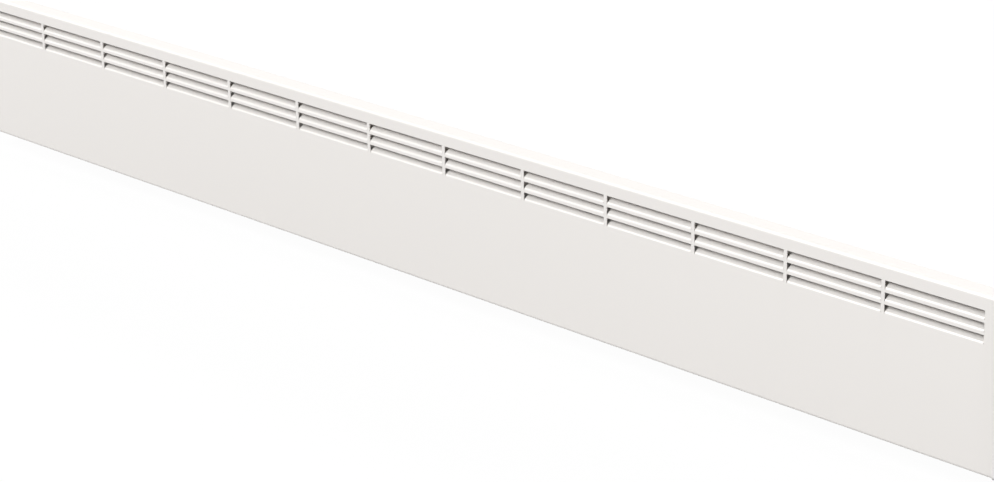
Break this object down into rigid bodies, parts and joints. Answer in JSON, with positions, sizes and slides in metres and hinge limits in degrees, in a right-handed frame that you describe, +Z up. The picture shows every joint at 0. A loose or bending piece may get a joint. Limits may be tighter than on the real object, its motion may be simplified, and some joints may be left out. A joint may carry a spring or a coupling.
{
  "type": "plinth heater",
  "caption": "Long low wall-mounted convector heater with rows of lanced louvres along the top of its front, end caps and side controls.",
  "frame": {"origin": "centre of the four wall fixing holes, in the plane of the wall", "axes": "+X along the heater to its right end seen from the front, +Y into the wall, +Z up"},
  "size_m": [1.7584, 0.0794, 0.2037],
  "materials": {
    "powder_coat": "white powder coat, satin",
    "cap_plastic": "white moulded plastic, fine texture",
    "zinc_steel": "zinc plated",
    "spring_steel": "bright strip",
    "aluminium": "extruded, mill finish",
    "heating_rod": "dull, heat tinted",
    "ceramic": "unglazed ceramic",
    "dark_plastic": "moulded, matte",
    "knob_plastic": "satin",
    "red_lens": "clear red",
    "brass": "turned",
    "rubber": "matte",
    "brown_wire": "silicone sleeve",
    "glass_sleeve": "woven glass-fibre sleeve",
    "green_wire": "silicone sleeve"
  },
  "bodies": {
    "wall_mounting": {"wall_bracket_left": "zinc_steel", "wall_bracket_right": "zinc_steel", "bracket_clips": "spring_steel", "bracket_buffers": "rubber"},
    "heater": {"front_cover": "powder_coat", "rear_casing": "powder_coat", "end_cap_left": "cap_plastic", "end_cap_right": "cap_plastic", "casing_screws": "zinc_steel", "hanger_left": "zinc_steel", "hanger_right": "zinc_steel", "hanger_pins": "spring_steel", "hanger_rivets": "aluminium", "switch_body": "dark_plastic", "pilot_lamp": "red_lens", "cable_gland": "dark_plastic", "element_profile": "aluminium", "element_rod": "heating_rod", "element_bushes": "ceramic", "element_bracket": "zinc_steel", "element_supports": "zinc_steel", "control_bulkhead": "zinc_steel", "support_screws": "zinc_steel", "heat_reflector": "aluminium", "reflector_rivets": "aluminium", "thermal_cutout": "dark_plastic", "thermostat_body": "dark_plastic", "thermostat_screws": "zinc_steel", "capillary_sensor": "brass", "sensor_clips": "cap_plastic", "terminal_block": "ceramic", "earth_stud": "brass", "cable_clamp": "cap_plastic", "live_lead": "brown_wire", "switch_lead": "brown_wire", "limiter_lead": "brown_wire", "element_lead": "brown_wire", "return_lead": "glass_sleeve", "earth_lead": "green_wire", "lead_clips": "cap_plastic"},
    "thermostat": {"thermostat_knob": "knob_plastic", "thermostat_spindle": "spring_steel"},
    "rocker": {"switch_rocker": "dark_plastic"}
  },
  "joints": [
    {"name": "tilt_for_cleaning", "type": "hinge", "parent": "wall_mounting", "child": "heater", "pos_m": [0, -0.012, -0.052], "axis": [1, 0, 0], "range_deg": [0, 30]},
    {"name": "thermostat_turn", "type": "hinge", "parent": "heater", "child": "thermostat", "pos_m": [0.87, -0.05, 0.048], "axis": [-1, 0, 0], "range_deg": [0, 270]},
    {"name": "switch_rock", "type": "hinge", "parent": "heater", "child": "rocker", "pos_m": [0.869, -0.05, 0.004], "axis": [0, -1, 0], "range_deg": [0, 16]}
  ]
}
